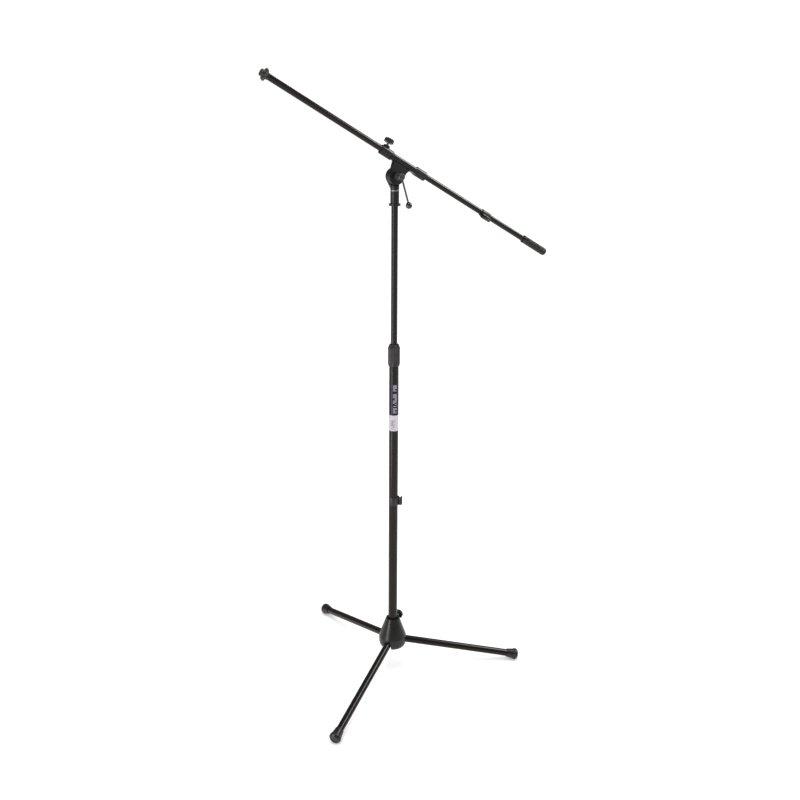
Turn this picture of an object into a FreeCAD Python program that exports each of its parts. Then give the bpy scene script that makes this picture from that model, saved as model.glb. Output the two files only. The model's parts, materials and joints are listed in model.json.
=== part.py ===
import FreeCAD, Part
import math
import os

# Boom microphone stand, in millimetres.
# Origin: on the floor under the mast's axis. +Z is up the mast, +X is the way the boom's
# microphone end points, +Y is the side that carries the tilt clamp's lever.

Vector = FreeCAD.Vector
Rotation = FreeCAD.Rotation
Placement = FreeCAD.Placement
UP = Vector(0, 0, 1)
ALONG = Vector(1, 0, 0)
ACROSS = Vector(0, 1, 0)

# ---- fits ----
running = 0.06               # radial clearance of a shaft that turns or slides in its hole
gap = 0.3                    # clearance between pieces that move past each other
past = 1.0                   # how far a cutting tool runs past a face

# ---- tubes ----
tube_wall = 1.2
lower_r = 11.9               # 23.8 mm (15/16 in) lower mast
upper_r = 8.0                # 16 mm (5/8 in) upper mast
boom_r = 7.0                 # 14 mm boom
leg_r = 9.5                  # 19 mm (3/4 in) legs

# ---- base ----
foot_reach = 351.8           # mast axis to the end of a leg's centre line
foot_end_z = 13.2            # height of a leg's centre line at its end
first_leg_azimuth = 37.34    # degrees from +X
leg_count = 3
liner_wall = 1.6
column_wall = 3.3            # hub wall between the mast's liner and the legs
leg_to_column = 1.0          # room between a folded leg and that wall
pin_z = 87.2
pin_r = 2.5
cheek_wall = 4.0             # hub walls that hold a leg's pin, one each side
cheek_to_leg = 0.4
bell_wall = 3.0
neck_wall = 5.0
neck_top_z = 154.6
neck_lip = 2.0               # chamfer round the top of the neck
shoulder_z = 100.5           # where the bell's cone meets its upright skirt
skirt_bottom_z = 88.0        # where the skirt starts to curl in
rim_z = 71.0
rim_inset = 9.0              # how far the rim curls in from the skirt
skirt_room = 9.6             # leg pin's centre to the skirt's outside
eye_r = 8.0                  # round end of a leg's knuckle
knuckle_shank = 30.0
foot_length = 31.0
foot_small_r = 11.6
foot_end_r = 15.2
foot_band = 6.0              # width of the band that stands on the floor
foot_round = 4.0             # rounded edge outside that band
foot_floor = 5.0             # rubber beyond the end of the tube

# ---- thumb screws ----
screw_r = 2.94
thread_r = screw_r + running
hub_screw_z = 142.0
hub_boss_r = 6.5
hub_boss_length = 14.0       # boss beyond the hub's bore
hub_knob_stand = 7.0         # boss to the knob's inner face
hub_knob_r = 13.0
knob_thickness = 10.0
boom_knob_r = 11.5
knob_flutes = 10

# ---- mast ----
mast_bottom_z = 75.0
plug_flange = 4.0
plug_depth = 16.0
lower_top_z = 893.0
label_thickness = 0.15
tag_bottom_z = 692.3
label_bottom_z = 733.6
label_top_z = 821.2
mast_clip_z = 487.2
mast_clip_length = 22.5
mast_clip_azimuth = 150.8
clutch_below = 32.1          # grip's bottom, under the lower tube's top
clutch_above = 22.3          # grip's top, over the lower tube's top
clutch_shoulder = 8.6        # height of the cone on top of the grip
clutch_foot = 4.8            # height of the chamfer under the grip
clutch_grip_wall = 1.54
clutch_body_wall = 1.4
clutch_cover = 27.0          # how far the threaded body reaches down the tube
clutch_seat = 6.0
collet_length = 12.0
collet_wall = 3.1
collet_slit = 2.0
guide_length = 30.0
upper_length = 692.0

# ---- head ----
pivot_z = 1315.0
flange_drop = 67.0           # flange's bottom, under the tilt axis
flange_height = 5.5
flange_extra = 3.6           # how far the flange stands out from the sleeve
sleeve_wall = 2.4
sleeve_height = 33.0         # flange's bottom to the bright ring
tube_socket = 14.0           # how far the upper tube enters the sleeve
insert_grip = 25.0           # how far the thread insert reaches down the tube
stud_thread_r = 7.9375       # 5/8 in - 27 thread
stud_pitch_r = 7.632         # the same thread where a nut is on it
stud_length = 21.0
ring_height = 4.0
neck_to_ear = 1.5            # room between the sleeve's neck and the ear that tilts
neck_wall_of_sleeve = 1.1    # sleeve's wall where it enters the casting
casting_skin = 0.1           # the casting stands this far proud of the sleeve
ear_r = 20.0
ear_outer = 10.0             # half the width of the two ears together
ear_inner = 1.2              # half the slot between them
ear_room = 2.2               # room round the ear that tilts, in the lower casting
tilt_bolt_r = 3.0
bolt_head_r = 6.5
bolt_head_height = 4.0
washer_r = 8.0
washer_thickness = 1.5
lever_hub_r = 8.5
lever_hub_length = 24.0
lever_rod_r = 2.2
lever_ball_r = 7.75
lever_reach = 68.0           # tilt axis to the ball's centre
lever_lean = 17.4            # degrees from straight down, towards the boom's tail

# ---- boom, in its own frame: X along the boom, Z square to it, origin on the tilt axis ----
boom_elevation = 28.4
boom_offset = 37.5           # tilt axis to the boom's axis
boom_front = 366.0
boom_back = -488.0
grip_front = -411.0
grip_back = -494.3
grip_r = 10.0
stub_length = 19.0
insert_depth = 30.0
lock_nut_gap = 5.0
lock_nut_width = 7.0
lock_nut_r = 14.0
lock_nut_lobes = 8
front_collar = (29.0, 62.3)
rear_collar = (-72.6, -42.6)
bush_wall = 1.1
collar_wall = 1.4
collar_depth = 12.2          # collar's lowest line, under the boom's axis
collar_half_width = 8.0
trough_depth = 9.6
web_half_width = 25.0
boom_screw_x = 51.0
boom_boss_r = 8.0
boom_boss_top = 13.5
boom_screw_top = 19.4
boom_clip_front = -259.2
boom_clip_length = 27.0
boom_clip_turn = 50.0        # degrees from straight below, towards +Y

# ---- cable clips ----
clip_wall = 1.8
clip_opening = 100.0         # degrees of each clip's band left open
cable_r = 4.0
cable_gap = 5.0
mast_clip_mouth = 90.0       # way the hook is open, in degrees from straight out of the tube

# ---- worked out from the above ----
hub_bore_r = lower_r + running + liner_wall + running
column_r = hub_bore_r + column_wall
hub_boss_reach = hub_bore_r + hub_boss_length
hub_knob_in = hub_boss_reach + hub_knob_stand
pin_reach = column_r + leg_to_column + leg_r
skirt_r = pin_reach + skirt_room
neck_top_r = hub_bore_r + neck_wall
rim_r = skirt_r - rim_inset
leg_run = foot_reach - pin_reach
leg_slope = math.degrees(math.atan2(pin_z - foot_end_z, leg_run))
leg_length = leg_run / math.cos(math.radians(leg_slope))
leg_bore_r = leg_r - tube_wall
tube_start = eye_r + 0.8
hub_screw_azimuth = first_leg_azimuth + 180.0
lower_bore_r = lower_r - tube_wall
upper_bore_r = upper_r - tube_wall
boom_bore_r = boom_r - tube_wall
sleeve_r = max(upper_r, stud_thread_r) + sleeve_wall
neck_r = stud_thread_r + neck_wall_of_sleeve
flange_r = sleeve_r + flange_extra
flange_bottom_z = pivot_z - flange_drop
flange_top_z = flange_bottom_z + flange_height
sleeve_top_z = flange_bottom_z + sleeve_height
upper_top_z = flange_bottom_z + tube_socket
upper_bottom_z = upper_top_z - upper_length
clutch_bottom_z = lower_top_z - clutch_below
clutch_top_z = lower_top_z + clutch_above
ring_top_z = sleeve_top_z + ring_height
neck_top_of_sleeve_z = pivot_z - ear_r - neck_to_ear
casting_r = sleeve_r + casting_skin
collar_bore_r = boom_r + running + bush_wall + running
collar_r = collar_bore_r + collar_wall
boom_axis_h = boom_offset
stub_end = boom_front + stub_length


def cylinder(radius, start, end, axis=UP, foot=Vector(0, 0, 0)):
    """A round bar along axis, from start to end measured from foot."""
    return Part.makeCylinder(radius, end - start, foot + axis * start, axis)


def pipe(outer, inner, start, end, axis=UP, foot=Vector(0, 0, 0)):
    """A round tube along axis."""
    bore = cylinder(inner, start - past, end + past, axis, foot)
    return cylinder(outer, start, end, axis, foot).cut(bore)


def box(low, high):
    """A box between two corners."""
    size = [b - a for a, b in zip(low, high)]
    return Part.makeBox(*size, Vector(*low))


def turned(points, axis=UP):
    """Turn a closed outline of (radius, height) points and arcs about an axis.

    An entry of three numbers ("arc", through, to) runs an arc through one point to the next.
    """
    side = ALONG if axis == UP else UP
    place = [side * r + axis * z for r, z in (p[-1] if len(p) == 3 else p for p in points)]
    edges = []
    for i, entry in enumerate(points):
        start, end = place[i - 1], place[i]
        if len(entry) == 3:
            through = side * entry[1][0] + axis * entry[1][1]
            edges.append(Part.Arc(start, through, end).toShape())
        else:
            edges.append(Part.LineSegment(start, end).toShape())
    face = Part.Face(Part.Wire(edges))
    return face.revolve(Vector(0, 0, 0), axis, 360)


def plate(outline, low, high):
    """A flat plate: an outline of (x, z) points, between two values of y."""
    points = [Vector(x, low, z) for x, z in outline]
    return Part.Face(Part.makePolygon(points + points[:1])).extrude(ACROSS * (high - low))


def fluted(radius, start, end, flutes, axis=UP, foot=Vector(0, 0, 0)):
    """A round knob with rounded flutes cut down its side."""
    body = cylinder(radius, start, end, axis, foot)
    spread = math.pi * radius / flutes
    side = Vector(0, 1, 0) if abs(axis.y) < 0.5 else ALONG
    for i in range(flutes):
        turn = Rotation(axis, 360.0 * (i + 0.5) / flutes)
        centre = foot + turn.multVec(side) * (radius + spread * 0.55)
        body = body.cut(cylinder(spread * 0.8, start - past, end + past, axis, centre))
    return body


def on_leg(shape, index):
    """Carry a leg's piece from the leg's frame (X out along it from its pin) to its place."""
    place = Placement(Vector(pin_reach, 0, pin_z), Rotation(ACROSS, leg_slope))
    shape.Placement = place.multiply(shape.Placement)
    return at_azimuth(shape, leg_azimuth(index))


def leg_azimuth(index):
    return first_leg_azimuth + 360.0 * index / leg_count


def on_boom(shape):
    """Carry a piece from the boom's frame to its place on the mast."""
    place = Placement(Vector(0, 0, pivot_z), Rotation(ACROSS, -boom_elevation))
    shape.Placement = place.multiply(shape.Placement)
    return shape


def at_azimuth(shape, azimuth):
    shape.rotate(Vector(0, 0, 0), UP, azimuth)
    return shape


# ---- base ----

def bell_profile():
    """Outside of the bell, from the foot of its bore round to the top."""
    curl = rim_inset
    mid = (skirt_r - curl * 0.23, skirt_bottom_z - (skirt_bottom_z - rim_z) * 0.62)
    return [
        (hub_bore_r, rim_z),
        (rim_r, rim_z),
        ("arc", mid, (skirt_r, skirt_bottom_z)),
        (skirt_r, shoulder_z),
        (neck_top_r, neck_top_z - neck_lip),
        (neck_top_r - neck_lip * 0.5, neck_top_z),
        (hub_bore_r, neck_top_z),
    ]


def bell_hollow():
    """Room inside the bell, between its wall and the column round the mast."""
    inner = skirt_r - bell_wall
    rim_inner = rim_r - bell_wall * 0.6
    mid = (inner - rim_inset * 0.23, skirt_bottom_z - (skirt_bottom_z - rim_z) * 0.55)
    flare = (skirt_r - neck_top_r) / (neck_top_z - neck_lip - shoulder_z)
    apex_z = shoulder_z + (inner - column_r) / flare
    return turned([
        (column_r, rim_z - past),
        (rim_inner, rim_z - past),
        (rim_inner, rim_z + bell_wall * 0.8),
        ("arc", mid, (inner, skirt_bottom_z)),
        (inner, shoulder_z),
        (column_r, apex_z),
    ])


def leg_slot(index):
    """Arched slot that one leg stands in, open below so that the leg can fold."""
    half = leg_r + cheek_to_leg
    arch = cylinder(leg_r + gap, 0, leg_length, ALONG)
    arch = on_leg(arch, index)
    arch_z = pin_z - (skirt_r - pin_reach) * math.tan(math.radians(leg_slope))
    low = (column_r + past, -half, rim_z - past)
    high = (skirt_r + past, half, arch_z)
    return arch.fuse(at_azimuth(box(low, high), leg_azimuth(index)))


def make_hub_bell():
    solid = turned(bell_profile())
    hub = solid.cut(bell_hollow())
    half = leg_r + cheek_to_leg
    cheeks = []
    for index in range(leg_count):
        for side in (-1, 1):
            inner, outer = sorted((side * half, side * (half + cheek_wall)))
            wall = box((column_r * 0.8, inner, rim_z), (skirt_r - 1.0, outer, neck_top_z))
            cheeks.append(at_azimuth(wall, leg_azimuth(index)))
    bore = cylinder(column_r - column_wall / 2, 0, neck_top_z + past)
    inside = turned(bell_profile()).cut(bore)
    for wall in cheeks:
        hub = hub.fuse(wall.common(inside))
    boss = cylinder(hub_boss_r, hub_bore_r + 0.5, hub_boss_reach, ALONG, Vector(0, 0, hub_screw_z))
    hub = hub.fuse(at_azimuth(boss, hub_screw_azimuth))
    for index in range(leg_count):
        hub = hub.cut(leg_slot(index))
        reach = half + cheek_wall + past
        hole = cylinder(pin_r, -reach, reach, ACROSS)
        hub = hub.cut(on_leg(hole, index))
    hub = hub.cut(cylinder(hub_bore_r, 0, neck_top_z + past))
    thread = cylinder(thread_r, 0, hub_boss_reach + past, ALONG, Vector(0, 0, hub_screw_z))
    return hub.cut(at_azimuth(thread, hub_screw_azimuth))


def make_leg_pin(index):
    reach = leg_r + cheek_to_leg + cheek_wall
    return on_leg(cylinder(pin_r, -reach, reach, ACROSS), index)


def make_leg_knuckle(index):
    """End fitting of a leg: a rounded eye as wide as the leg, and a shank inside the tube."""
    eye = cylinder(eye_r, -leg_r, leg_r, ACROSS)
    eye = eye.fuse(box((0, -leg_r, -eye_r), (tube_start, leg_r, eye_r)))
    eye = eye.common(cylinder(leg_r, -eye_r, tube_start, ALONG))
    body = eye.fuse(cylinder(leg_bore_r, 0, tube_start + knuckle_shank, ALONG))
    hole = cylinder(pin_r + running, -leg_r - past, leg_r + past, ACROSS)
    return on_leg(body.cut(hole), index)


def make_leg_tube(index):
    return on_leg(pipe(leg_r, leg_bore_r, tube_start, leg_length - foot_floor, ALONG), index)


def make_leg_foot(index):
    band_in = leg_length - foot_round - foot_band
    foot = turned([
        (0, leg_length - foot_length),
        (foot_small_r, leg_length - foot_length),
        (foot_end_r - 1.0, band_in - 1.5),
        (foot_end_r, band_in),
        (foot_end_r, leg_length - foot_round),
        (foot_end_r - foot_round, leg_length),
        (0, leg_length),
    ], ALONG)
    foot = foot.cut(cylinder(leg_r, 0, leg_length - foot_floor, ALONG))
    foot = on_leg(foot, index)
    wide = foot_reach + foot_length
    return foot.cut(box((-wide, -wide, -wide), (wide, wide, 0)))


def make_hub_liner():
    """Plastic sleeve that the mast slides in."""
    return pipe(hub_bore_r - running, lower_r + running, rim_z + past, neck_top_z - past)


def make_hub_screw_shank():
    tip = hub_bore_r - running + gap
    shank = cylinder(screw_r, tip, hub_knob_in + knob_thickness * 0.7, ALONG,
                     Vector(0, 0, hub_screw_z))
    return at_azimuth(shank, hub_screw_azimuth)


def make_hub_screw_knob():
    foot = Vector(0, 0, hub_screw_z)
    knob = fluted(hub_knob_r, hub_knob_in, hub_knob_in + knob_thickness, knob_flutes, ALONG, foot)
    seat = cylinder(screw_r, hub_knob_in - past, hub_knob_in + knob_thickness * 0.7, ALONG, foot)
    return at_azimuth(knob.cut(seat), hub_screw_azimuth)


# ---- mast ----

def make_lower_tube():
    return pipe(lower_r, lower_bore_r, mast_bottom_z, lower_top_z)


def make_tube_end_plug():
    flange = cylinder(lower_r, mast_bottom_z - plug_flange, mast_bottom_z)
    stem = cylinder(lower_bore_r, mast_bottom_z, mast_bottom_z + plug_depth)
    return flange.fuse(stem)


def make_label_band():
    return pipe(lower_r + label_thickness, lower_r, label_bottom_z, label_top_z)


def make_tag_band():
    return pipe(lower_r + label_thickness, lower_r, tag_bottom_z, label_bottom_z)


def clutch_body_r():
    return lower_r + clutch_body_wall


def make_clutch_body():
    """Threaded collar fixed on the lower tube's top, with the seat that the collet stands on."""
    skirt = pipe(clutch_body_r(), lower_r, lower_top_z - clutch_cover, lower_top_z)
    seat = pipe(clutch_body_r(), upper_r + clutch_body_wall, lower_top_z,
                lower_top_z + clutch_seat)
    return skirt.fuse(seat)


def make_clutch_collet():
    """Split ring that grips the upper tube when the sleeve's cone squeezes it."""
    bottom = lower_top_z + clutch_seat
    top = bottom + collet_length
    inner = upper_r + running
    outer = upper_r + collet_wall
    ring = turned([
        (inner, bottom),
        (outer, bottom),
        (outer, bottom + collet_length / 3),
        (outer - collet_wall / 2, top),
        (inner, top),
    ])
    slit = box((0, -collet_slit / 2, bottom - past), (outer + past, collet_slit / 2, top + past))
    return ring.cut(slit)


def make_clutch_sleeve():
    bore = clutch_body_r() + running
    outer = bore + clutch_grip_wall
    seat_z = lower_top_z + clutch_seat
    collet_top = seat_z + collet_length
    collet_outer = upper_r + collet_wall
    return turned([
        (bore, clutch_bottom_z),
        (outer - 1.0, clutch_bottom_z),
        (outer, clutch_bottom_z + clutch_foot),
        (outer, clutch_top_z - clutch_shoulder),
        (outer - 3.5, clutch_top_z),
        (upper_r + gap, clutch_top_z),
        (upper_r + gap, collet_top + gap),
        (collet_outer - collet_wall / 2 + gap, collet_top + gap),
        (collet_outer + gap, seat_z + collet_length / 3),
        (collet_outer + gap, seat_z + gap),
        (bore, seat_z + gap),
    ])


def make_cable_clip(tube_r, start, end, mouth_turn):
    """C-shaped band round a tube along Z, with an open hook on its +X side for a cable."""
    inner = tube_r + running
    outer = inner + clip_wall
    band = pipe(outer, inner, start, end)
    half = math.radians(clip_opening / 2)
    far = outer * 3
    wedge = [
        Vector(0, 0, start - past),
        Vector(-far * math.cos(half), far * math.sin(half), start - past),
        Vector(-far * math.cos(half), -far * math.sin(half), start - past),
    ]
    wedge = Part.Face(Part.makePolygon(wedge + wedge[:1])).extrude(UP * (end - start + 2 * past))
    band = band.cut(wedge)
    centre = Vector(outer + cable_r, 0, 0)
    mouth = box((0, -cable_gap / 2, start - past), (cable_r * 3, cable_gap / 2, end + past))
    mouth = at_azimuth(mouth, mouth_turn)
    mouth.translate(centre)
    ring = cylinder(cable_r + clip_wall, start, end, UP, centre).cut(mouth)
    hole = cylinder(cable_r, start - past, end + past, UP, centre)
    room = cylinder(inner, start - past, end + past)
    return band.fuse(ring).cut(hole).cut(room).removeSplitter()


def make_mast_cable_clip():
    top = mast_clip_z + mast_clip_length
    clip = make_cable_clip(lower_r, mast_clip_z, top, mast_clip_mouth)
    return at_azimuth(clip, mast_clip_azimuth)


def make_guide_bush():
    return pipe(lower_bore_r - running, upper_r + running, upper_bottom_z,
                upper_bottom_z + guide_length)


def make_upper_tube():
    return pipe(upper_r, upper_bore_r, upper_bottom_z, upper_top_z)


def make_mast_thread_insert():
    shank = cylinder(upper_bore_r, upper_top_z - insert_grip, upper_top_z)
    stud = cylinder(stud_thread_r - running, upper_top_z, upper_top_z + stud_length)
    return shank.fuse(stud)


# ---- head ----

def make_head_sleeve():
    body = turned([
        (0, flange_bottom_z),
        (flange_r - 0.8, flange_bottom_z),
        (flange_r, flange_bottom_z + 0.8),
        (flange_r, flange_top_z - 0.8),
        (flange_r - 0.8, flange_top_z),
        (sleeve_r, flange_top_z),
        (sleeve_r, sleeve_top_z),
        (neck_r, sleeve_top_z),
        (neck_r, neck_top_of_sleeve_z),
        (0, neck_top_of_sleeve_z),
    ])
    body = body.cut(cylinder(upper_r, flange_bottom_z - past, upper_top_z))
    thread_top = upper_top_z + stud_length + past
    return body.cut(cylinder(stud_thread_r, upper_top_z - past / 2, thread_top))


def make_plated_ring():
    return pipe(sleeve_r, neck_r, sleeve_top_z, ring_top_z)


def make_swivel_socket():
    """Lower casting: a round socket below and the far one of the two ears above."""
    ear = cylinder(ear_r, -ear_outer, -ear_inner, ACROSS, Vector(0, 0, pivot_z))
    shoulder_x = ear_r * 0.93
    cheek = plate([
        (-casting_r * 0.57, ring_top_z),
        (casting_r * 0.57, ring_top_z),
        (shoulder_x, pivot_z - ear_r * 0.37),
        (-shoulder_x, pivot_z - ear_r * 0.37),
    ], -ear_outer, -ear_inner)
    neck = cylinder(casting_r, ring_top_z, pivot_z - ear_r * 0.6)
    room = cylinder(ear_r + ear_room, -ear_inner, ear_outer * 2, ACROSS, Vector(0, 0, pivot_z))
    casting = ear.fuse([cheek, neck]).cut(room)
    casting = casting.cut(cylinder(neck_r, ring_top_z - past, neck_top_of_sleeve_z))
    bolt = cylinder(tilt_bolt_r, -ear_outer * 2, ear_outer, ACROSS, Vector(0, 0, pivot_z))
    return casting.cut(bolt)


def make_friction_disc():
    pivot = Vector(0, 0, pivot_z)
    return pipe(ear_r - 1.0, tilt_bolt_r, -ear_inner, ear_inner - gap, ACROSS, pivot)


def make_tilt_bolt():
    pivot = Vector(0, 0, pivot_z)
    head = cylinder(bolt_head_r, -ear_outer - bolt_head_height, -ear_outer, ACROSS, pivot)
    end = lever_start() + lever_hub_length * 0.8
    return head.fuse(cylinder(tilt_bolt_r, -ear_outer, end, ACROSS, pivot))


def make_lever_washer():
    start = ear_outer + gap
    pivot = Vector(0, 0, pivot_z)
    return pipe(washer_r, tilt_bolt_r, start, start + washer_thickness, ACROSS, pivot)


def lever_start():
    return ear_outer + 2 * gap + washer_thickness


def lever_direction():
    lean = math.radians(lever_lean)
    return Vector(-math.sin(lean), 0, -math.cos(lean))


def lever_root():
    """Where the rod's centre line crosses the tilt axis."""
    return Vector(0, lever_start() + lever_hub_length - lever_rod_r * 2, pivot_z)


def make_lever_hub():
    pivot = Vector(0, 0, pivot_z)
    start = lever_start()
    hub = turned([
        (0, start),
        (lever_hub_r, start),
        (lever_hub_r, start + lever_hub_length - 2.5),
        (lever_hub_r - 2.5, start + lever_hub_length),
        (0, start + lever_hub_length),
    ], ACROSS)
    hub.translate(pivot)
    bore_end = start + lever_hub_length * 0.8 + gap
    hub = hub.cut(cylinder(tilt_bolt_r + running, start - past, bore_end, ACROSS, pivot))
    seat = cylinder(lever_rod_r, lever_hub_r * 0.55, lever_reach, lever_direction(), lever_root())
    return hub.cut(seat)


def make_lever_rod():
    end = lever_reach - lever_ball_r * 0.4
    return cylinder(lever_rod_r, lever_hub_r * 0.55, end, lever_direction(), lever_root())


def make_lever_ball():
    """Ball with a blind hole for the rod, turned about the rod's axis."""
    rim = math.sqrt(lever_ball_r ** 2 - lever_rod_r ** 2)
    hole_end = -lever_ball_r * 0.4
    ball = turned([
        (0, hole_end),
        (lever_rod_r, hole_end),
        (lever_rod_r, -rim),
        ("arc", (lever_ball_r, 0), (0, lever_ball_r)),
    ])
    centre = lever_root() + lever_direction() * lever_reach
    ball.Placement = Placement(centre, Rotation(UP, lever_direction()))
    return ball


# ---- saddle and boom, in the boom's frame ----

BOOM_AXIS = Vector(0, 0, boom_axis_h)


def collar_block(span):
    """One collar: a ring round the boom with a deeper, round-bottomed block under it."""
    ring = cylinder(collar_r, span[0], span[1], ALONG, BOOM_AXIS)
    low_h = boom_axis_h - collar_depth
    round_h = low_h + collar_half_width
    block = box((span[0], -collar_half_width, round_h), (span[1], collar_half_width, boom_axis_h))
    bottom = cylinder(collar_half_width, span[0], span[1], ALONG, Vector(0, 0, round_h))
    return ring.fuse([block, bottom])


def make_boom_saddle():
    ear = cylinder(ear_r, ear_inner, ear_outer, ACROSS)
    trough_h = boom_axis_h - trough_depth
    waist = ear_r * 0.98
    web = plate([
        (-waist, ear_r * 0.18),
        (waist, ear_r * 0.18),
        (web_half_width, trough_h),
        (web_half_width, trough_h + past),
        (-web_half_width, trough_h + past),
        (-web_half_width, trough_h),
        (-waist, trough_h * 0.6),
    ], ear_inner, ear_outer)
    trough = box((rear_collar[1] - past, -collar_r, trough_h),
                 (front_collar[0] + past, collar_r, boom_axis_h))
    channel = cylinder(boom_r + gap, rear_collar[1], front_collar[0], ALONG, BOOM_AXIS)
    saddle = ear.fuse([web, trough, collar_block(front_collar), collar_block(rear_collar)])
    boss_foot = Vector(boom_screw_x, 0, boom_axis_h)
    boss = cylinder(boom_boss_r, boom_r, boom_boss_top, UP, boss_foot)
    saddle = saddle.fuse(boss).cut(channel)
    for span in (front_collar, rear_collar):
        saddle = saddle.cut(cylinder(collar_bore_r, span[0] - past, span[1] + past, ALONG,
                                     BOOM_AXIS))
    saddle = saddle.cut(cylinder(thread_r, 0, boom_boss_top + past, UP, boss_foot))
    bolt = cylinder(tilt_bolt_r + running, 0, ear_outer + past, ACROSS)
    return on_boom(saddle.cut(bolt))


def make_saddle_bush(span):
    return on_boom(pipe(collar_bore_r - running, boom_r + running, span[0], span[1], ALONG,
                        BOOM_AXIS))


def make_boom_screw_shank():
    foot = Vector(boom_screw_x, 0, boom_axis_h)
    tip = collar_bore_r - running + gap
    return on_boom(cylinder(screw_r, tip, boom_screw_top + knob_thickness * 0.7, UP, foot))


def make_boom_screw_knob():
    foot = Vector(boom_screw_x, 0, boom_axis_h)
    top = boom_screw_top + knob_thickness
    knob = fluted(boom_knob_r, boom_screw_top, top, knob_flutes, UP, foot)
    seat = cylinder(screw_r, 0, boom_screw_top + knob_thickness * 0.7, UP, foot)
    return on_boom(knob.cut(seat))


def make_boom_tube():
    return on_boom(pipe(boom_r, boom_bore_r, boom_back, boom_front, ALONG, BOOM_AXIS))


def make_boom_thread_insert():
    shank = cylinder(boom_bore_r, boom_front - insert_depth, boom_front, ALONG, BOOM_AXIS)
    free_start = boom_front + lock_nut_gap + lock_nut_width + running
    stub = cylinder(stud_pitch_r, boom_front, free_start + past, ALONG, BOOM_AXIS)
    free = cylinder(stud_thread_r, free_start, stub_end, ALONG, BOOM_AXIS)
    return on_boom(shank.fuse(stub).fuse(free))


def make_mic_lock_nut():
    start = boom_front + lock_nut_gap
    nut = fluted(lock_nut_r, start, start + lock_nut_width, lock_nut_lobes, ALONG, BOOM_AXIS)
    bore = cylinder(stud_pitch_r + running, start - past, start + lock_nut_width + past, ALONG,
                    BOOM_AXIS)
    return on_boom(nut.cut(bore))


def make_boom_grip():
    grip = turned([
        (0, grip_back),
        (grip_r - 3.0, grip_back),
        (grip_r, grip_back + 3.0),
        (grip_r, grip_front - 1.5),
        (grip_r - 1.5, grip_front),
        (0, grip_front),
    ], ALONG)
    grip.translate(BOOM_AXIS)
    return on_boom(grip.cut(cylinder(boom_r, boom_back, grip_front + past, ALONG, BOOM_AXIS)))


def make_boom_cable_clip():
    """The same clip as the mast's, laid along the boom, with its hook open towards +Y."""
    clip = make_cable_clip(boom_r, 0, boom_clip_length, 90.0 - boom_clip_turn)
    clip = at_azimuth(clip, boom_clip_turn)
    clip.rotate(Vector(0, 0, 0), ACROSS, 90)
    clip.translate(Vector(boom_clip_front - boom_clip_length, 0, boom_axis_h))
    return on_boom(clip)


def all_pieces():
    pieces = {
        "hub_bell": make_hub_bell(),
        "hub_liner": make_hub_liner(),
        "hub_screw_shank": make_hub_screw_shank(),
        "hub_screw_knob": make_hub_screw_knob(),
        "lower_tube": make_lower_tube(),
        "tube_end_plug": make_tube_end_plug(),
        "label_band": make_label_band(),
        "tag_band": make_tag_band(),
        "mast_cable_clip": make_mast_cable_clip(),
        "clutch_body": make_clutch_body(),
        "clutch_collet": make_clutch_collet(),
        "clutch_sleeve": make_clutch_sleeve(),
        "guide_bush": make_guide_bush(),
        "upper_tube": make_upper_tube(),
        "mast_thread_insert": make_mast_thread_insert(),
        "head_sleeve": make_head_sleeve(),
        "plated_ring": make_plated_ring(),
        "swivel_socket": make_swivel_socket(),
        "friction_disc": make_friction_disc(),
        "tilt_bolt": make_tilt_bolt(),
        "lever_washer": make_lever_washer(),
        "lever_hub": make_lever_hub(),
        "lever_rod": make_lever_rod(),
        "lever_ball": make_lever_ball(),
        "boom_saddle": make_boom_saddle(),
        "saddle_bush_front": make_saddle_bush(front_collar),
        "saddle_bush_rear": make_saddle_bush(rear_collar),
        "boom_screw_shank": make_boom_screw_shank(),
        "boom_screw_knob": make_boom_screw_knob(),
        "boom_tube": make_boom_tube(),
        "boom_thread_insert": make_boom_thread_insert(),
        "mic_lock_nut": make_mic_lock_nut(),
        "boom_grip": make_boom_grip(),
        "boom_cable_clip": make_boom_cable_clip(),
    }
    for index in range(leg_count):
        number = index + 1
        pieces["leg_pin_%d" % number] = make_leg_pin(index)
        pieces["leg_knuckle_%d" % number] = make_leg_knuckle(index)
        pieces["leg_tube_%d" % number] = make_leg_tube(index)
        pieces["leg_foot_%d" % number] = make_leg_foot(index)
    return pieces


os.makedirs("parts", exist_ok=True)
for name, shape in all_pieces().items():
    shape.exportStep("parts/%s.step" % name)
    print(name, len(shape.Solids), shape.isValid(), round(shape.Volume))
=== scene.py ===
"""Looks of a boom microphone stand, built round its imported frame. Metres; sizes are given in mm."""
import json
import math

import bpy
import numpy as np
from mathutils import Matrix


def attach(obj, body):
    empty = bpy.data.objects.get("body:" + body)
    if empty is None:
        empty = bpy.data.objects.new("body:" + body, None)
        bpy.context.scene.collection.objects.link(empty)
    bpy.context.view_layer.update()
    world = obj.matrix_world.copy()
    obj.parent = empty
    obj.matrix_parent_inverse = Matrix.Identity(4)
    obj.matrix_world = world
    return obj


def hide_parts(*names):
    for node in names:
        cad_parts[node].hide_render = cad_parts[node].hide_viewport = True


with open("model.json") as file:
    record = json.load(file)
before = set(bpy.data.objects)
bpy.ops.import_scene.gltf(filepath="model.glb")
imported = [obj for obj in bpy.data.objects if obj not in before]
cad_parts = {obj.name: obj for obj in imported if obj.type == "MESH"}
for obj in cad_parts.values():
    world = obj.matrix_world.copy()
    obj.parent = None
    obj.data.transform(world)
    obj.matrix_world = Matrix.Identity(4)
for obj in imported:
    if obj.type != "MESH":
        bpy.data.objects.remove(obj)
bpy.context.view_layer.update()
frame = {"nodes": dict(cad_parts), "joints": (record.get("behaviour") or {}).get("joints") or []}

MM = 0.001

# ---- sizes in mm, as the stand is made ----
LOWER_R = 11.9
UPPER_R = 8.0
BOOM_R = 7.0
LEG_R = 9.5
TUBE_WALL = 1.2
RUNNING = 0.06

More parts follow.
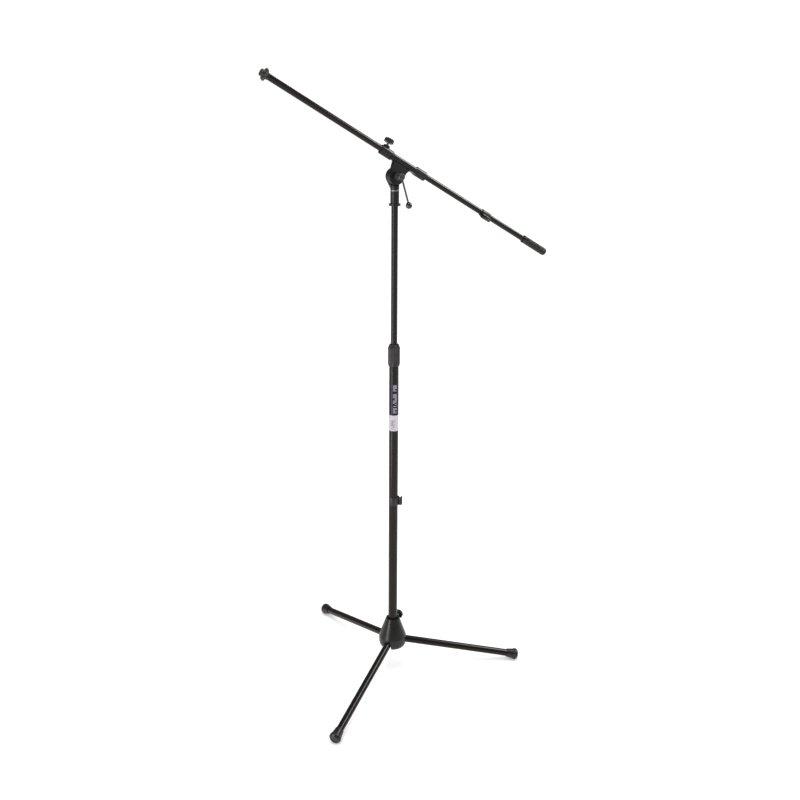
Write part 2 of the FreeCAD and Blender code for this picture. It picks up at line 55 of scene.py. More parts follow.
PIN_REACH = 27.42
PIN_Z = 87.2
PIN_R = 2.5
CHEEK = (9.9, 13.9)
EYE_R = 8.0
TUBE_START = 8.8
LEG_LENGTH = 332.714
FOOT_FLOOR = 5.0
FOOT_LENGTH = 31.0

HUB_BORE = 13.62
COLUMN_R = 16.92
NECK_R = 18.62
NECK_Z = 154.6
SHOULDER_Z = 100.5
SKIRT_R = 37.02
SKIRT_Z = 88.0
RIM_R = 28.02
RIM_Z = 71.0
BELL_WALL = 3.0
SLOT_R = 9.85
HUB_SCREW_Z = 142.0
HUB_BOSS = (14.6, 27.62)
HUB_KNOB = (34.62, 44.62)
HUB_KNOB_R = 13.0

PIVOT_Z = 1315.0
EAR_R = 20.0
EAR = (1.2, 10.0)
BOOM_H = 37.5
BOOM = (-488.0, 366.0)
GRIP = (-494.3, -411.0)
STUB = (366.0, 385.0)
STUD_R = 7.9375
LOCK_NUT = (371.0, 378.0)
FRONT_COLLAR = (29.0, 62.3)
REAR_COLLAR = (-72.6, -42.6)
COLLAR_R = 9.62
COLLAR_BORE = 8.22
BOOM_SCREW_X = 51.0
BOOM_KNOB = (19.4, 29.4)
BOOM_KNOB_R = 11.5
THREAD_PITCH = 25.4 / 27.0


# ---- frames that the pieces are drawn in ----

class Axes:
    """A point and three unit directions; a piece is drawn along them in mm."""

    def __init__(self, foot, x, y, z):
        self.foot = np.asarray(foot, float)
        self.x = np.asarray(x, float)
        self.y = np.asarray(y, float)
        self.z = np.asarray(z, float)

    def place(self, a, b, c):
        """foot + a along x + b along y + c along z, for whole arrays."""
        a, b, c = np.broadcast_arrays(a, b, c)
        turn = np.stack([self.x, self.y, self.z])
        return self.foot + np.stack([a, b, c], -1).reshape(-1, 3) @ turn * MM

    def moved(self, a, b, c):
        """The same directions from another point."""
        return Axes(self.place(a, b, c)[0], self.x, self.y, self.z)

    def along(self, name):
        """The same frame with its z turned to lie along the named direction."""
        if name == "x":
            return Axes(self.foot, self.y, self.z, self.x)
        if name == "y":
            return Axes(self.foot, self.z, self.x, self.y)
        return self


def unit(v):
    return np.asarray(v, float) / np.linalg.norm(v)


def joint(name):
    return next(j for j in frame["joints"] if j["name"] == name)


def node_points(name):
    mesh = frame["nodes"][name].data
    points = np.empty(len(mesh.vertices) * 3)
    mesh.vertices.foreach_get("co", points)
    return points.reshape(-1, 3)


def leg_axes(number):
    """x runs out along the leg from its pin, y along the pin, z square to both."""
    hinge = joint("leg_%d_fold" % number)
    pin = np.array(hinge["pos_m"])
    side = unit(hinge["axis"])
    tube = node_points("leg_tube_%d" % number)
    out = (tube.min(0) + tube.max(0)) / 2 - pin
    out = unit(out - side * (out @ side))
    return Axes(pin, out, side, np.cross(out, side))


def hub_screw_axes():
    """z runs out along the hub's thumb screw, from the mast's axis."""
    out = unit(joint("hub_screw_turn")["axis"])
    side = np.cross((0.0, 0.0, 1.0), out)
    return Axes((0, 0, HUB_SCREW_Z * MM), side, np.cross(out, side), out)


def boom_axes():
    """x runs along the boom to its front, z square to it, from the tilt axis."""
    along = unit(joint("boom_slide")["axis"])
    up = unit(joint("boom_screw_turn")["axis"])
    return Axes(joint("boom_tilt")["pos_m"], along, np.cross(up, along), up)


def lever_axes():
    """z runs down the lever's rod, from where it crosses the tilt axis."""
    ball = node_points("lever_ball")
    centre = (ball.min(0) + ball.max(0)) / 2
    pivot = np.array(joint("boom_tilt")["pos_m"])
    root = pivot.copy()
    root[1] = centre[1]
    down = unit(centre - root)
    return Axes(root, (0, 1, 0), np.cross(down, (0, 1, 0)), down)


MAST = Axes((0, 0, 0), (1, 0, 0), (0, 1, 0), (0, 0, 1))
HEAD = MAST.moved(0, 0, PIVOT_Z)
TILT = boom_axes()
BOOM_LINE = TILT.moved(0, 0, BOOM_H)


# ---- surfaces ----

def rounded(points, closed=False, steps=5):
    """Corner points (a, b, radius) to a line: each corner becomes the curve that runs from one
    side to the other inside it, with a point just past each end so that the flats stay flat."""
    line = []
    for i, (a, b, radius) in enumerate(points):
        here = np.array((a, b), float)
        inner = closed or 0 < i < len(points) - 1
        if not inner or radius <= 0:
            line.append(here[None])
            continue
        before = np.array(points[i - 1][:2], float) - here
        after = np.array(points[(i + 1) % len(points)][:2], float) - here
        room = min(np.linalg.norm(before), np.linalg.norm(after))
        before, after = unit(before), unit(after)
        half = math.acos(float(np.clip(before @ after, -1, 1))) / 2
        reach = min(radius / math.tan(half), room * 0.44)
        past = min(reach * 1.3, room * 0.49)
        t = np.linspace(0, 1, steps + 1)[:, None]
        start, end = here + before * reach, here + after * reach
        curve = (1 - t) ** 2 * start + 2 * t * (1 - t) * here + t ** 2 * end
        line.append(np.vstack([here + before * past, curve, here + after * past]))
    return np.vstack(line)


def grid_faces(rows, columns, wrap_rows=False, wrap_columns=True):
    """Four-sided faces between neighbouring points of a grid."""
    index = np.arange(rows * columns).reshape(rows, columns)
    if wrap_rows:
        index = np.vstack([index, index[:1]])
    if wrap_columns:
        index = np.hstack([index, index[:, :1]])
    faces = [index[:-1, :-1], index[:-1, 1:], index[1:, 1:], index[1:, :-1]]
    return np.stack(faces, -1).reshape(-1, 4)


def outward(points, groups):
    """Turns a closed surface's faces round if the volume inside them comes out negative."""
    volume = 0.0
    for faces in groups:
        for k in range(1, faces.shape[1] - 1):
            a, b, c = (points[faces[:, i]] for i in (0, k, k + 1))
            volume += float(np.sum(a * np.cross(b, c)))
    if volume < 0:
        groups = [faces[:, ::-1] for faces in groups]
    return points, groups


def turned(axes, profile, around=96, ring=False, shape=None):
    """Radius and height along a profile, carried round z; ring joins the profile's two ends.

    shape(radius, height, angle) may change both. A profile that starts or ends on the axis
    closes there in one point.
    """
    profile = np.asarray(profile, float)
    angle = np.linspace(0, 2 * np.pi, around, endpoint=False)[None, :]
    radius = np.repeat(profile[:, :1], around, 1)
    height = np.repeat(profile[:, 1:2], around, 1)
    if shape:
        radius, height = shape(radius, height, angle)
    points = axes.place(radius * np.cos(angle), radius * np.sin(angle), height)
    if ring:
        return outward(points, [grid_faces(len(profile), around, wrap_rows=True)])
    faces = grid_faces(len(profile), around)
    groups = [faces]
    first = np.arange(around)[None, :]
    last = first + (len(profile) - 1) * around
    groups = [faces, first[:, ::-1], last]
    if profile[0, 0] == 0 and profile[-1, 0] == 0:
        middle = faces[around:-around]
        rim_low = np.arange(around, 2 * around)
        rim_high = np.arange((len(profile) - 2) * around, (len(profile) - 1) * around)
        low = np.stack([np.zeros(around, int), np.roll(rim_low, -1), rim_low], -1)
        top = np.full(around, (len(profile) - 1) * around)
        high = np.stack([top, rim_high, np.roll(rim_high, -1)], -1)
        used = np.r_[0, np.arange(around, (len(profile) - 1) * around + 1)]
        new = np.zeros(len(points), int)
        new[used] = np.arange(len(used))
        return outward(points[used], [new[middle], new[low], new[high]])
    return outward(points, groups)


def pipe(axes, outer, inner, start, end, around=96, edge=0.3, shape=None):
    """A tube with rounded rims along z."""
    corners = [(inner, start, edge), (outer, start, edge), (outer, end, edge), (inner, end, edge)]
    return turned(axes, rounded(corners, closed=True, steps=3), around, True, shape)


def bar(axes, radius, start, end, around=64, edge=0.4, shape=None):
    """A solid round bar with rounded rims along z."""
    corners = [(0, start, 0), (radius, start, edge), (radius, end, edge), (0, end, 0)]
    return turned(axes, rounded(corners, steps=4), around, shape=shape)


def threaded(axes, radius, start, end, pitch=THREAD_PITCH, depth=0.45, around=48):
    """A bar whose radius falls and rises once for each pitch, and a pitch for each turn."""
    rows = int((end - start) / pitch * 8)
    height = np.linspace(start, end, rows)
    taper = np.clip(np.minimum(height - start, end - height) / pitch, 0, 1)
    line = np.stack([radius - 0.35 * (1 - taper), height], -1)
    line = np.vstack([[0, start], line, [0, end]])

    def cut(radius, height, angle):
        phase = (height / pitch - angle / (2 * np.pi)) % 1.0
        groove = depth * np.abs(2 * phase - 1) * (radius > 1.0)
        return radius - groove, height

    return turned(axes, line, around, shape=cut)


def plate(axes, outline, low, high, edge=0.5, steps=4):
    """An outline of (x, z) points carried along y, with a quarter-round on both its edges.

    Each row is the outline moved inwards along its own normals, by less and less towards the
    middle of the plate's thickness.
    """
    outline = np.asarray(outline, float)
    turn = np.roll(outline, -1, 0) - np.roll(outline, 1, 0)
    normal = np.stack([turn[:, 1], -turn[:, 0]], -1)
    normal /= np.maximum(np.linalg.norm(normal, axis=1, keepdims=True), 1e-9)
    x, z = outline.T
    if np.sum(x * np.roll(z, -1) - np.roll(x, -1) * z) < 0:
        normal = -normal
    t = np.linspace(0, np.pi / 2, steps + 1)
    inset = np.r_[edge * 1.3, edge * (1 - np.sin(t))]
    depth = np.r_[0, edge * (1 - np.cos(t))]
    inset = np.r_[inset, inset[::-1]]
    place = np.r_[low + depth, high - depth[::-1]]
    rows = outline[None] - normal[None] * inset[:, None, None]
    points = axes.place(rows[..., 0], place[:, None], rows[..., 1])
    count = len(outline)
    first = np.arange(count)[None, :]
    last = first + (len(place) - 1) * count
    return outward(points, [grid_faces(len(place), count), first[:, ::-1], last])


def arc(radius, start, end, steps, centre=(0.0, 0.0)):
    """Points on a circle between two angles, in degrees."""
    t = np.radians(np.linspace(start, end, steps))
    return np.stack([centre[0] + radius * np.cos(t), centre[1] + radius * np.sin(t)], -1)


def made(name, shells, material, body, nodes, sharp=38.0):
    """Joins closed surfaces into one piece that rides on a body and stands for CAD nodes."""
    points, faces, count = [], [], 0
    for shell_points, groups in shells:
        points.append(shell_points)
        for group in groups:
            faces.extend((group + count).tolist())
        count += len(shell_points)
    mesh = bpy.data.meshes.new(name)
    mesh.from_pydata(np.vstack(points).tolist(), [], faces)
    mesh.polygons.foreach_set("use_smooth", np.ones(len(mesh.polygons), bool))
    mesh.update()
    mesh.set_sharp_from_angle(angle=math.radians(sharp))
    mesh.materials.append(material)
    piece = bpy.data.objects.new(name, mesh)
    bpy.context.scene.collection.objects.link(piece)
    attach(piece, body)
    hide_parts(*nodes)
    return piece


def lobed(count, depth, low, high, blend=1.0):
    """Rounded flutes round a knob: the radius dips by depth between lobes, for heights between
    low and high, and fades out over blend at both ends."""
    def shape(radius, height, angle):
        dip = 0.5 - 0.5 * np.cos(count * angle)
        ends = np.clip(np.minimum(height - low, high - height) / blend, 0, 1)
        inside = np.clip(radius / radius.max(), 0, 1) ** 3
        return radius - depth * dip ** 1.6 * ends * inside, height
    return shape


# ---- finishes ----

def linear(code):
    """Linear colour of an sRGB hex code."""
    srgb = np.array([int(code[i:i + 2], 16) / 255 for i in (1, 3, 5)])
    low, high = srgb / 12.92, ((srgb + 0.055) / 1.055) ** 2.4
    return (*np.where(srgb <= 0.04045, low, high).tolist(), 1.0)


def add(tree, kind, settings=None, inputs=None):
    """Adds a node. settings are its own attributes; an input is a value or another socket."""
    node = tree.nodes.new(kind)
    for key, value in (settings or {}).items():
        setattr(node, key, value)
    for key, value in (inputs or {}).items():
        if isinstance(value, bpy.types.NodeSocket):
            tree.links.new(value, node.inputs[key])
        else:
            node.inputs[key].default_value = value
    return node


def finish(name, colour, rough, grain_mm, bump_mm, metallic=0.0, ior=1.45, coat=0.0,
           coat_rough=0.1, tint="#8a8780", dust=0.03, streak=(1, 1, 1), blotch_mm=18.0,
           specular=0.5, vary=0.06):
    """A surface with fine grain in its bump, slow variation in its gloss and a trace of dust."""
    material = bpy.data.materials.new(name)
    material.use_nodes = True
    tree = material.node_tree
    shader = tree.nodes["Principled BSDF"]
    where = add(tree, "ShaderNodeTexCoord").outputs["Object"]
    stretched = add(tree, "ShaderNodeMapping", None, {"Vector": where, "Scale": streak})
    grain = add(tree, "ShaderNodeTexNoise", None, {
        "Vector": stretched.outputs["Vector"], "Scale": 1.0 / (grain_mm * MM), "Detail": 3.0,
        "Roughness": 0.6})
    blotch = add(tree, "ShaderNodeTexNoise", None, {
        "Vector": where, "Scale": 1.0 / (blotch_mm * MM), "Detail": 4.0})
    specks = add(tree, "ShaderNodeTexNoise", None, {
        "Vector": where, "Scale": 1.0 / (1.6 * MM), "Detail": 2.0})
    settled = add(tree, "ShaderNodeMath", {"operation": "MULTIPLY"}, {
        0: blotch.outputs["Fac"], 1: specks.outputs["Fac"]})
    mask = add(tree, "ShaderNodeMapRange", None, {
        "Value": settled.outputs["Value"], "From Min": 0.22, "From Max": 0.42, "To Max": dust})
    base = add(tree, "ShaderNodeMix", {"data_type": "RGBA"}, {
        "Factor": mask.outputs["Result"], 6: linear(colour), 7: linear(tint)})
    gloss = add(tree, "ShaderNodeMapRange", None, {
        "Value": blotch.outputs["Fac"], "From Min": 0.3, "From Max": 0.7,
        "To Min": max(rough - vary, 0.02), "To Max": rough + vary})
    relief = add(tree, "ShaderNodeBump", None, {
        "Strength": 1.0, "Distance": bump_mm * MM, "Height": grain.outputs["Fac"]})
    tree.links.new(base.outputs[2], shader.inputs["Base Color"])
    tree.links.new(gloss.outputs["Result"], shader.inputs["Roughness"])
    tree.links.new(relief.outputs["Normal"], shader.inputs["Normal"])
    shader.inputs["Metallic"].default_value = metallic
    if metallic < 0.5:
        shader.inputs["IOR"].default_value = ior
        shader.inputs["Specular IOR Level"].default_value = specular
    shader.inputs["Coat Weight"].default_value = coat
    shader.inputs["Coat Roughness"].default_value = coat_rough
    return material


def printed(material, ground, ink, row_mm, dash_mm, amount, bands, facing, spread):
    """Rows of short generic bars on a label: a bar shows where its own cell's chance number
    is under amount, inside the bands of height, in mm, that are printed, and within spread
    degrees of the way that the printed side faces."""
    tree = material.node_tree
    shader = tree.nodes["Principled BSDF"]
    where = add(tree, "ShaderNodeTexCoord").outputs["Object"]
    parts = add(tree, "ShaderNodeSeparateXYZ", None, {0: where})
    turn = add(tree, "ShaderNodeMath", {"operation": "ARCTAN2"}, {
        0: parts.outputs["Y"], 1: parts.outputs["X"]})
    round_mm = add(tree, "ShaderNodeMath", {"operation": "MULTIPLY"}, {
        0: turn.outputs["Value"], 1: LOWER_R / dash_mm})
    row = add(tree, "ShaderNodeMath", {"operation": "MULTIPLY"}, {
        0: parts.outputs["Z"], 1: 1.0 / (row_mm * MM)})
    cell_a = add(tree, "ShaderNodeMath", {"operation": "FLOOR"}, {0: round_mm.outputs["Value"]})
    cell_b = add(tree, "ShaderNodeMath", {"operation": "FLOOR"}, {0: row.outputs["Value"]})
    cell = add(tree, "ShaderNodeCombineXYZ", None, {
        0: cell_a.outputs["Value"], 1: cell_b.outputs["Value"]})
    chance = add(tree, "ShaderNodeTexWhiteNoise", {"noise_dimensions": "2D"}, {
        "Vector": cell.outputs["Vector"]})
    shown = add(tree, "ShaderNodeMath", {"operation": "LESS_THAN"}, {
        0: chance.outputs["Value"], 1: amount})
    part = add(tree, "ShaderNodeMath", {"operation": "FRACT"}, {0: row.outputs["Value"]})
    line = add(tree, "ShaderNodeMath", {"operation": "LESS_THAN"}, {
        0: part.outputs["Value"], 1: 0.55})
    mask = add(tree, "ShaderNodeMath", {"operation": "MULTIPLY"}, {
        0: shown.outputs["Value"], 1: line.outputs["Value"]})
    off = add(tree, "ShaderNodeMath", {"operation": "SUBTRACT"}, {
        0: turn.outputs["Value"], 1: math.radians(facing)})
    off = add(tree, "ShaderNodeMath", {"operation": "ABSOLUTE"}, {0: off.outputs["Value"]})
    front = add(tree, "ShaderNodeMath", {"operation": "LESS_THAN"}, {
        0: off.outputs["Value"], 1: math.radians(spread)})
    mask = add(tree, "ShaderNodeMath", {"operation": "MULTIPLY"}, {
        0: mask.outputs["Value"], 1: front.outputs["Value"]})
    inside = None
    for low, high in bands:
        above = add(tree, "ShaderNodeMath", {"operation": "GREATER_THAN"}, {
            0: parts.outputs["Z"], 1: low * MM})
        below = add(tree, "ShaderNodeMath", {"operation": "LESS_THAN"}, {
            0: parts.outputs["Z"], 1: high * MM})
        both = add(tree, "ShaderNodeMath", {"operation": "MULTIPLY"}, {
            0: above.outputs["Value"], 1: below.outputs["Value"]})
        if inside is None:
            inside = both
        else:
            inside = add(tree, "ShaderNodeMath", {"operation": "MAXIMUM"}, {
                0: inside.outputs["Value"], 1: both.outputs["Value"]})
    mask = add(tree, "ShaderNodeMath", {"operation": "MULTIPLY"}, {
        0: mask.outputs["Value"], 1: inside.outputs["Value"]})
    colour = add(tree, "ShaderNodeMix", {"data_type": "RGBA"}, {
        "Factor": mask.outputs["Value"], 6: linear(ground), 7: linear(ink)})
    tree.links.new(colour.outputs[2], shader.inputs["Base Color"])


# Gloss powder coat on drawn steel: a faint orange peel that breaks the long highlights a little.
tube_coat = finish("gloss_powder_coat_on_steel", "#150f0b", 0.19, 2.2, 0.0012, dust=0.006,
                   blotch_mm=60.0, specular=0.24, vary=0.012)
# Satin glass-filled nylon, moulded: an even fine grain and a broad soft highlight.
bell_nylon = finish("satin_moulded_nylon", "#14140f", 0.33, 0.9, 0.006, dust=0.02,
                    blotch_mm=22.0, specular=0.34)
# Die-cast zinc under satin powder coat: a coarser skin, slightly uneven.
cast_coat = finish("satin_powder_coat_on_zinc", "#0d0c0d", 0.36, 1.1, 0.014, dust=0.02,
                   specular=0.34)
# Moulded ABS knobs: matt with a slightly warm grey where the light grazes them.
knob_abs = finish("matt_moulded_abs", "#191711", 0.40, 0.8, 0.012, dust=0.04, specular=0.42)
# Moulded rubber: dull, with a bloom of pale dust.
grip_rubber = finish("moulded_rubber_grip", "#120e0a", 0.34, 0.7, 0.010, dust=0.02,
                     specular=0.36)
foot_rubber = finish("moulded_rubber_foot", "#14110c", 0.34, 0.8, 0.012, dust=0.03,
                     specular=0.42)
# Polished phenolic ball: a hard bright spot from each lamp.
ball_gloss = finish("polished_phenolic", "#0a0a0a", 0.08, 2.0, 0.001, dust=0.0, ior=1.6,
                    vary=0.02)
# Zinc-plated steel: grey metal, softly mottled.
zinc_plate = finish("zinc_plated_steel", "#a8a9ab", 0.32, 0.7, 0.006, metallic=1.0, dust=0.05)
# Nickel-chrome plate over turned brass: fine turning marks round the ring, dulled by handling.
chrome_plate = finish("nickel_chrome_plate", "#6e6e70", 0.42, 0.8, 0.004, metallic=1.0,
                      dust=0.0, streak=(0.15, 0.15, 1.0), vary=0.05)
# Black oxide on turned steel: dark metal with a low sheen.
black_oxide = finish("black_oxide_on_steel", "#2f2f2b", 0.40, 0.7, 0.004, metallic=0.2,
                     dust=0.04, vary=0.05)
# Nylon liners and bushes: dull, nearly black.
liner_nylon = finish("black_nylon", "#1c1c1c", 0.50, 0.8, 0.012, dust=0.04)
# Acetal collet and bush: milky white.
acetal = finish("white_acetal", "#e4e3dd", 0.38, 0.9, 0.005, dust=0.03)
# Printed vinyl: a smooth film, dark purple, and a white paper one under it.
label_vinyl = finish("printed_vinyl_dark", "#100a1a", 0.30, 1.2, 0.002, dust=0.0, specular=0.25)
tag_vinyl = finish("printed_label_white", "#bbb4bd", 0.45, 1.2, 0.003, dust=0.0)
printed(label_vinyl, "#100a1a", "#a19cab", 2.9, 7.5, 0.80, [(740.0, 790.0), (797.0, 813.0)],
        76.0, 24.0)
printed(tag_vinyl, "#bbb4bd", "#3c3c42", 1.9, 2.4, 0.66, [(697.0, 722.0)], 52.0, 30.0)


# ---- base ----

def slot_half_width(z):
    """Half the width of a leg's slot at a height: upright sides, and a round arch above."""
    spring = PIN_Z - (SKIRT_R - PIN_REACH) * math.tan(math.radians(LEG_SLOPE))
    rise = np.clip(z - spring, 0, SLOT_R)
    return np.sqrt(np.maximum(SLOT_R ** 2 - rise ** 2, 0)), spring


def bell_shell():
    """The bell, its neck and the column inside it, in three equal sectors between the slots.

    A closed profile runs up the outside, over the neck, down the bore, and back up and down
    the hollow. Each of its rows goes round from one slot's edge to the next: the edge's angle
    is the arcsine of the slot's half-width over the row's radius, and nought above the arch.
    A strip joins the outer and the inner wall along each slot.
    """
    _, spring = slot_half_width(np.array(0.0))
    arch = spring + SLOT_R * np.sin(np.linspace(0, np.pi / 2, 22))
    low = np.linspace(RIM_Z, spring, 12)[:-1]
    wall_z = np.r_[low, arch]

    def outside(z):
        t = np.clip((SKIRT_Z - z) / (SKIRT_Z - RIM_Z), 0, 1)
        curl = SKIRT_R - (SKIRT_R - RIM_R) * (1 - np.sqrt(np.maximum(1 - t ** 2 * 0.96, 0)))
        cone = SKIRT_R - (SKIRT_R - NECK_R) * np.clip(
            (z - SHOULDER_Z) / (NECK_Z - 2.0 - SHOULDER_Z), 0, 1)
        return np.where(z < SKIRT_Z, curl, cone)

    outer_low = np.stack([outside(wall_z), wall_z], -1)
    inner_low = np.stack([outside(wall_z) - BELL_WALL, wall_z], -1)[::-1]
    upper = rounded([
        (*outer_low[-1], 0),
        (SKIRT_R, SHOULDER_Z, 3.0),
        (NECK_R, NECK_Z - 2.0, 0.5),
        (NECK_R - 1.1, NECK_Z, 0.5),
        (HUB_BORE, NECK_Z, 0.5),
        (HUB_BORE, RIM_Z, 0.5),
        (COLUMN_R, RIM_Z, 0.5),
        (COLUMN_R, 148.0, 2.0),
        (SKIRT_R - BELL_WALL, SHOULDER_Z, 2.0),
        (*inner_low[0], 0),
    ])[1:-1]
    profile = np.vstack([outer_low, upper, inner_low])
    rows, wall = len(profile), len(wall_z)
    half = np.zeros(rows)
    width, _ = slot_half_width(profile[:, 1])
    half[:wall] = np.arcsin(width[:wall] / profile[:wall, 0])
    half[-wall:] = np.arcsin(width[-wall:] / profile[-wall:, 0])
    columns = 49
    share = np.linspace(0, 1, columns)
    share = share + 0.10 * np.sin(2 * np.pi * share) / (2 * np.pi) * -1
    points, groups, count = [], [], 0
    for number in (1, 2, 3):
        start = math.atan2(*LEGS[number].x[1::-1])
        third = 2 * np.pi / 3
        angle = start + half[:, None] + (third - 2 * half[:, None]) * share[None, :]
        points.append(MAST.place(profile[:, :1] * np.cos(angle), profile[:, :1] * np.sin(angle),
                                 profile[:, 1:2]))
        faces = grid_faces(rows, columns, True, False)
        index = np.arange(rows * columns).reshape(rows, columns)
        for column, back in ((0, False), (columns - 1, True)):
            out = index[:wall, column]
            inn = index[rows - wall:, column][::-1]
            strip = np.stack([out[:-1], inn[:-1], inn[1:], out[1:]], -1)
            faces = np.vstack([faces, strip[:, ::-1] if back else strip])
        groups.append(faces + count)
        count += rows * columns
    points = np.vstack(points)
    return outward(points, [np.vstack(groups)])


def welded(shell):
    """One point wherever points of a surface meet; a face that a weld narrows loses a corner."""
    points, groups = shell
    _, first, new = np.unique(np.round(points / 2e-7), axis=0, return_index=True,
                              return_inverse=True)
    new = new.reshape(-1)
    out = []
    for group in groups:
        faces = new[group]
        same = faces == np.roll(faces, -1, 1)
        out.append(faces[same.sum(1) == 0])
        narrow = faces[same.sum(1) == 1]
        if len(narrow):
            keep = ~(narrow == np.roll(narrow, -1, 1))
            out.append(narrow[keep].reshape(len(narrow), -1))
    return points[first], [g for g in out if len(g)]


LEGS = {number: leg_axes(number) for number in (1, 2, 3)}
LEG_SLOPE = math.degrees(math.asin(-LEGS[1].x[2]))
HUB = hub_screw_axes()

shells = [welded(bell_shell())]
for number in (1, 2, 3):
    flat = unit((LEGS[number].x[0], LEGS[number].x[1], 0))
    across = np.cross((0, 0, 1), flat)
    upright = Axes((0, 0, 0), flat, across, (0, 0, 1))
    outline = rounded([
        (COLUMN_R - 2.0, RIM_Z + 0.3, 0.3),
        (RIM_R - 2.5, RIM_Z + 0.3, 1.0),
        (SKIRT_R - 5.5, SKIRT_Z - 4.0, 3.0),
        (SKIRT_R - 5.0, SHOULDER_Z - 2.0, 2.0),
        (COLUMN_R - 2.0, 141.0, 0.5),
    ], closed=True)
    for side in (-1, 1):
        low, high = sorted((side * CHEEK[0], side * CHEEK[1]))
        shells.append(plate(upright, outline, low, high, 0.4))
boss = rounded([(3.2, HUB_BOSS[0], 0), (6.9, HUB_BOSS[0], 0.2), (6.5, HUB_BOSS[1], 0.8),
                (3.2, HUB_BOSS[1], 0.4)], closed=True)
shells.append(turned(HUB, boss, 64, True))
bell = made("hub_bell_shell", shells, bell_nylon, "base", ["hub_bell"])
rim = bell.modifiers.new("edges", "BEVEL")
rim.width = 0.45 * MM
rim.segments = 2
rim.limit_method = "ANGLE"
rim.angle_limit = math.radians(55)

made("hub_liner_sleeve", [pipe(MAST, HUB_BORE - RUNNING, LOWER_R + RUNNING, RIM_Z + 1,
                               NECK_Z - 1, edge=0.5)],
     liner_nylon, "mast_liner", ["hub_liner"])


def thumb_knob(axes, radius, low, high, flutes=10):
    """A fluted knob: domed top with a shallow dished cap, and rounded lobes down its side."""
    thick = high - low
    outline = rounded([
        (0, low, 0),
        (radius * 0.42, low, 0.3),
        (radius * 0.46, low + 1.0, 0.3),
        (radius * 0.93, low + 0.6, 0.6),
        (radius, low + 2.0, 1.2),
        (radius * 0.985, high - 1.4, 1.6),
        (radius * 0.86, high, 1.2),
        (radius * 0.58, high, 0.4),
        (radius * 0.54, high - 0.9, 0.4),
        (0, high - 0.6, 0),
    ], steps=5)
    return turned(axes, outline, 160, shape=lobed(flutes, radius * 0.13, low - thick, high + 2.0))


made("hub_screw_fluted_knob", [thumb_knob(HUB, HUB_KNOB_R, *HUB_KNOB)],
     knob_abs, "hub_screw", ["hub_screw_knob"])
made("hub_screw_threaded_shank", [threaded(HUB, 2.94, 13.9, 41.6, 1.0, 0.5, 32)],
     zinc_plate, "hub_screw", ["hub_screw_shank"])


def boot(axes):
    """The foot: a tapered boot, a flared band round its end, and flat where it meets the floor."""
    end = LEG_LENGTH
    outline = rounded([
        (LEG_R + 0.05, end - 6.0, 0),
        (LEG_R + 0.05, end - FOOT_LENGTH, 0.2),
        (11.1, end - FOOT_LENGTH, 0.6),
        (11.6, end - FOOT_LENGTH + 3.0, 0.8),
        (13.6, end - 11.6, 3.0),
        (14.3, end - 11.0, 0.3),
        (15.2, end - 9.6, 0.8),
        (15.2, end - 4.2, 3.8),
        (11.2, end, 3.6),
        (8.4, end, 0.5),
        (7.6, end - 0.9, 0.5),
        (0, end - 0.9, 0),
    ], steps=6)
    outline = np.vstack([[0, end - 6.0], outline])
    points, groups = turned(axes, outline, 128)
    points[:, 2] = np.maximum(points[:, 2], 0.0)
    return points, groups


def knuckle(axes):
    """The eye: a round bar cut by a round end about the pin, so its half-height at a distance
    is the smaller of the bar's own and the end's; a stub reaches on into the tube."""
    reach = np.r_[-EYE_R * np.cos(np.linspace(0.06, np.pi / 2, 16)), np.linspace(1, 8.5, 6)]
    angle = np.linspace(0, 2 * np.pi, 72, endpoint=False)[None, :]
    limit = np.where(reach < 0, np.sqrt(np.maximum(EYE_R ** 2 - reach ** 2, 0)), EYE_R)[:, None]
    y = (LEG_R - 0.15) * np.cos(angle) * np.ones_like(limit)
    z = np.clip((LEG_R - 0.15) * np.sin(angle), -limit, limit)
    points = axes.place(reach[:, None], y, z)
    first = np.arange(72)[None, :]
    last = first + (len(reach) - 1) * 72
    eye = outward(points, [grid_faces(len(reach), 72), first[:, ::-1], last])
    return [eye, bar(axes.along("x"), LEG_R - TUBE_WALL - 0.02, 2.0, TUBE_START + 30.0)]


for number, axes in LEGS.items():
    body = "leg_%d" % number
    made("leg_tube_skin_%d" % number,
         [pipe(axes.along("x"), LEG_R, LEG_R - TUBE_WALL, TUBE_START, LEG_LENGTH - FOOT_FLOOR)],
         tube_coat, body, ["leg_tube_%d" % number])
    made("leg_boot_%d" % number, [boot(axes.along("x"))], foot_rubber, body,
         ["leg_foot_%d" % number])
    made("leg_eye_%d" % number, knuckle(axes), cast_coat, body,
         ["leg_knuckle_%d" % number])
    made("leg_pin_turned_%d" % number, [bar(axes.along("y"), PIN_R, -CHEEK[1], CHEEK[1], 48, 0.6)],
         zinc_plate, "base", ["leg_pin_%d" % number])


# ---- mast ----

made("lower_mast_tube", [pipe(MAST, LOWER_R, LOWER_R - TUBE_WALL, 75.0, 893.0, 128)],
     tube_coat, "lower_mast", ["lower_tube"])
plug = rounded([(0, 71.0, 0), (LOWER_R, 71.0, 1.2), (LOWER_R, 75.0, 0.2), (10.68, 75.0, 0.1),
                (10.68, 91.0, 0.8), (0, 91.0, 0)])
made("mast_end_plug", [turned(MAST, plug, 96)], liner_nylon, "lower_mast", ["tube_end_plug"])
made("dark_label", [pipe(MAST, LOWER_R + 0.15, LOWER_R, 733.6, 821.2, 128, 0.05)],
     label_vinyl, "lower_mast", ["label_band"])
made("white_label", [pipe(MAST, LOWER_R + 0.15, LOWER_R, 692.3, 733.6, 128, 0.05)],
     tag_vinyl, "lower_mast", ["tag_band"])
made("upper_mast_tube", [pipe(MAST, UPPER_R, UPPER_R - TUBE_WALL, 570.0, 1262.0, 112)],
     tube_coat, "upper_mast", ["upper_tube"])
